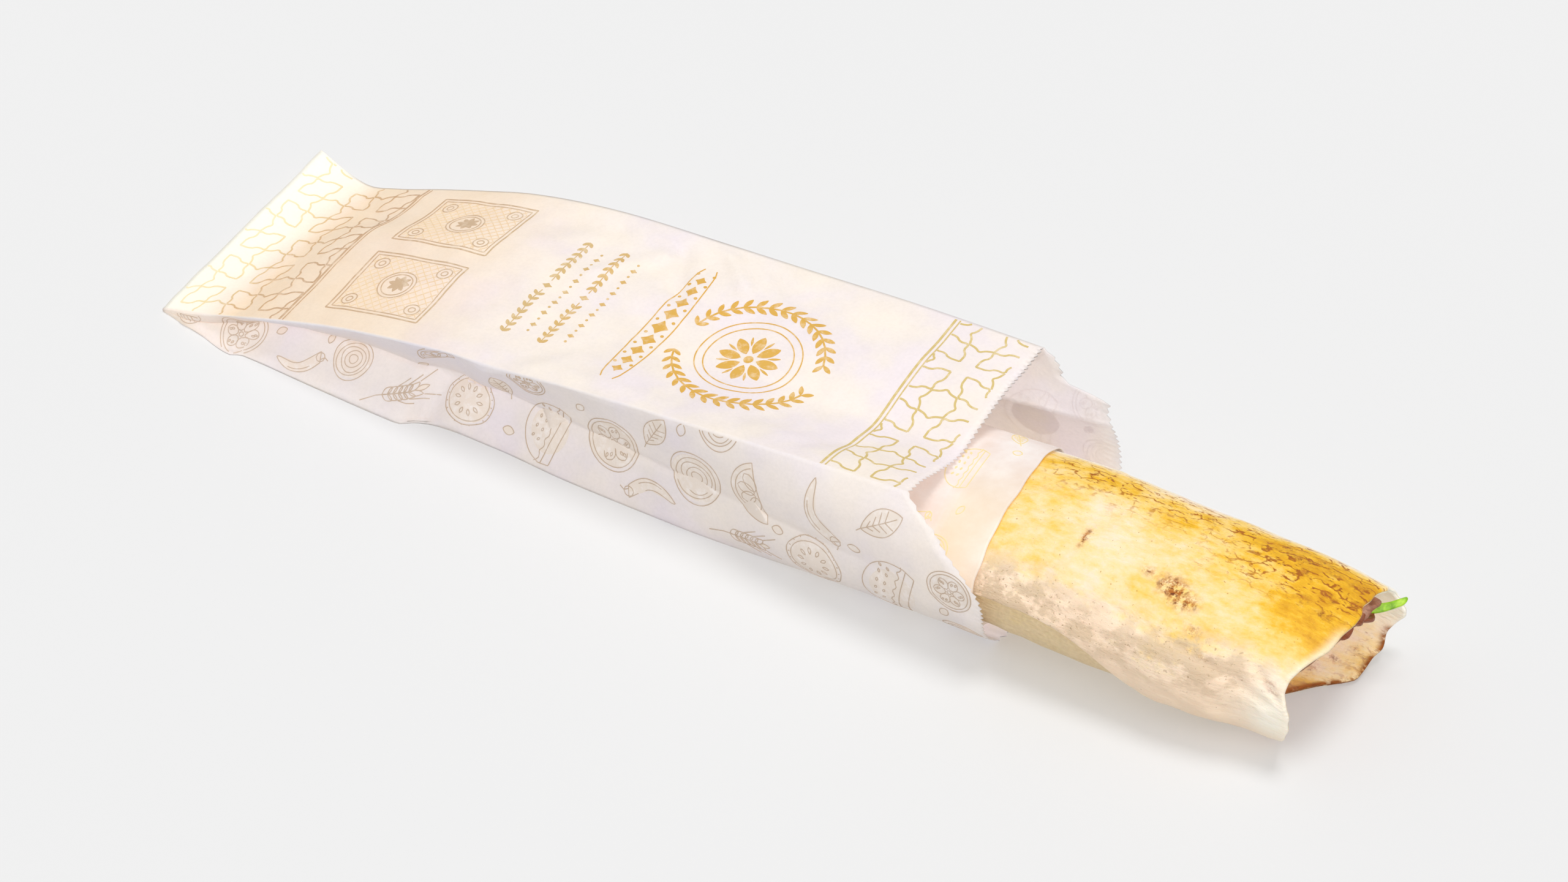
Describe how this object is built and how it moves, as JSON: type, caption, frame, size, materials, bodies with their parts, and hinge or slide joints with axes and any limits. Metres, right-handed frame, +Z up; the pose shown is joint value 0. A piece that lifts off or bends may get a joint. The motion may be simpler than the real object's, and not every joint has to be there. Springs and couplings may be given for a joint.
{
  "type": "gyro wrap in a paper bag",
  "caption": "Pressed flatbread roll with meat and green pepper, in a greaseproof liner, sticking out of the open mouth of a gusseted paper bag that lies flat.",
  "frame": {"origin": "middle of the underside, on the surface that the wrap lies on", "axes": "+X from the bag's closed base to the roll's open end, +Y from the near long side to the far one, +Z up"},
  "size_m": [0.4632, 0.1126, 0.052],
  "materials": {
    "bag_paper": "thin uncoated printed paper",
    "liner_paper": "thin greaseproof paper",
    "grilled_bread": "golden grilled flatbread, browned along the top",
    "roast_meat": "moist roast meat",
    "green_pepper": "fresh cut pepper"
  },
  "bodies": {
    "root": {"paper_bag": "bag_paper", "liner_paper": "liner_paper", "flatbread": "grilled_bread", "meat_filling": "roast_meat", "pepper_strip": "green_pepper"}
  },
  "joints": []
}
